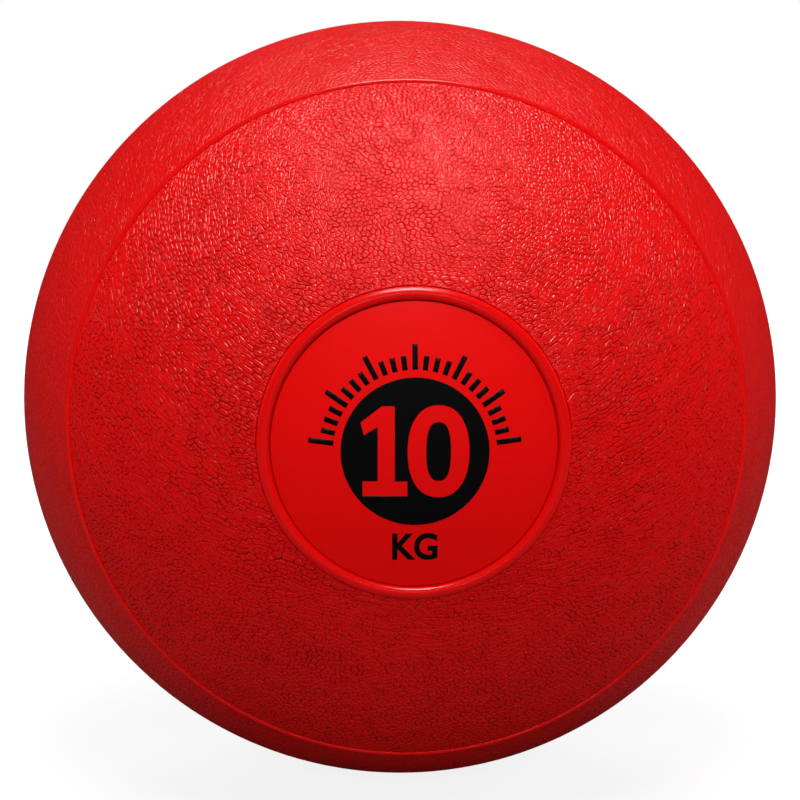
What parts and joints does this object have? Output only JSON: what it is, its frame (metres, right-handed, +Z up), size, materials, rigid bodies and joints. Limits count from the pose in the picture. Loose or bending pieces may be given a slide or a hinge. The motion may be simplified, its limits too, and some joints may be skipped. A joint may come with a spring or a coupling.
{
  "type": "medicine ball",
  "caption": "Heavy round rubber exercise ball with a grained cover, two ribbed seams, a ringed badge at each end and a needle valve.",
  "frame": {"origin": "the centre of the ball", "axes": "+Y runs through both badges, towards the rear badge and its valve, so the front badge faces -Y; +Z is up, away from the flattened patch that the ball rests on"},
  "size_m": [0.28, 0.2792, 0.2791],
  "materials": {
    "cover_rubber": "satin",
    "badge_rubber": "gloss",
    "print_ink": "satin",
    "ballast_rubber": "matte",
    "winding_thread": "matte",
    "butyl_rubber": "satin",
    "valve_rubber": "satin"
  },
  "bodies": {
    "root": {"front_cover_panel": "cover_rubber", "rear_cover_panel": "cover_rubber", "belt_cover_panel": "cover_rubber", "front_seam_rib": "badge_rubber", "rear_seam_rib": "badge_rubber", "front_badge_ring": "badge_rubber", "rear_badge_ring": "badge_rubber", "front_badge_disc": "badge_rubber", "rear_badge_disc": "badge_rubber", "front_ballast_shell": "ballast_rubber", "rear_ballast_shell": "ballast_rubber", "thread_winding": "winding_thread", "bladder": "butyl_rubber", "valve_housing": "butyl_rubber", "valve_patch": "butyl_rubber", "valve_core": "valve_rubber"}
  },
  "joints": []
}
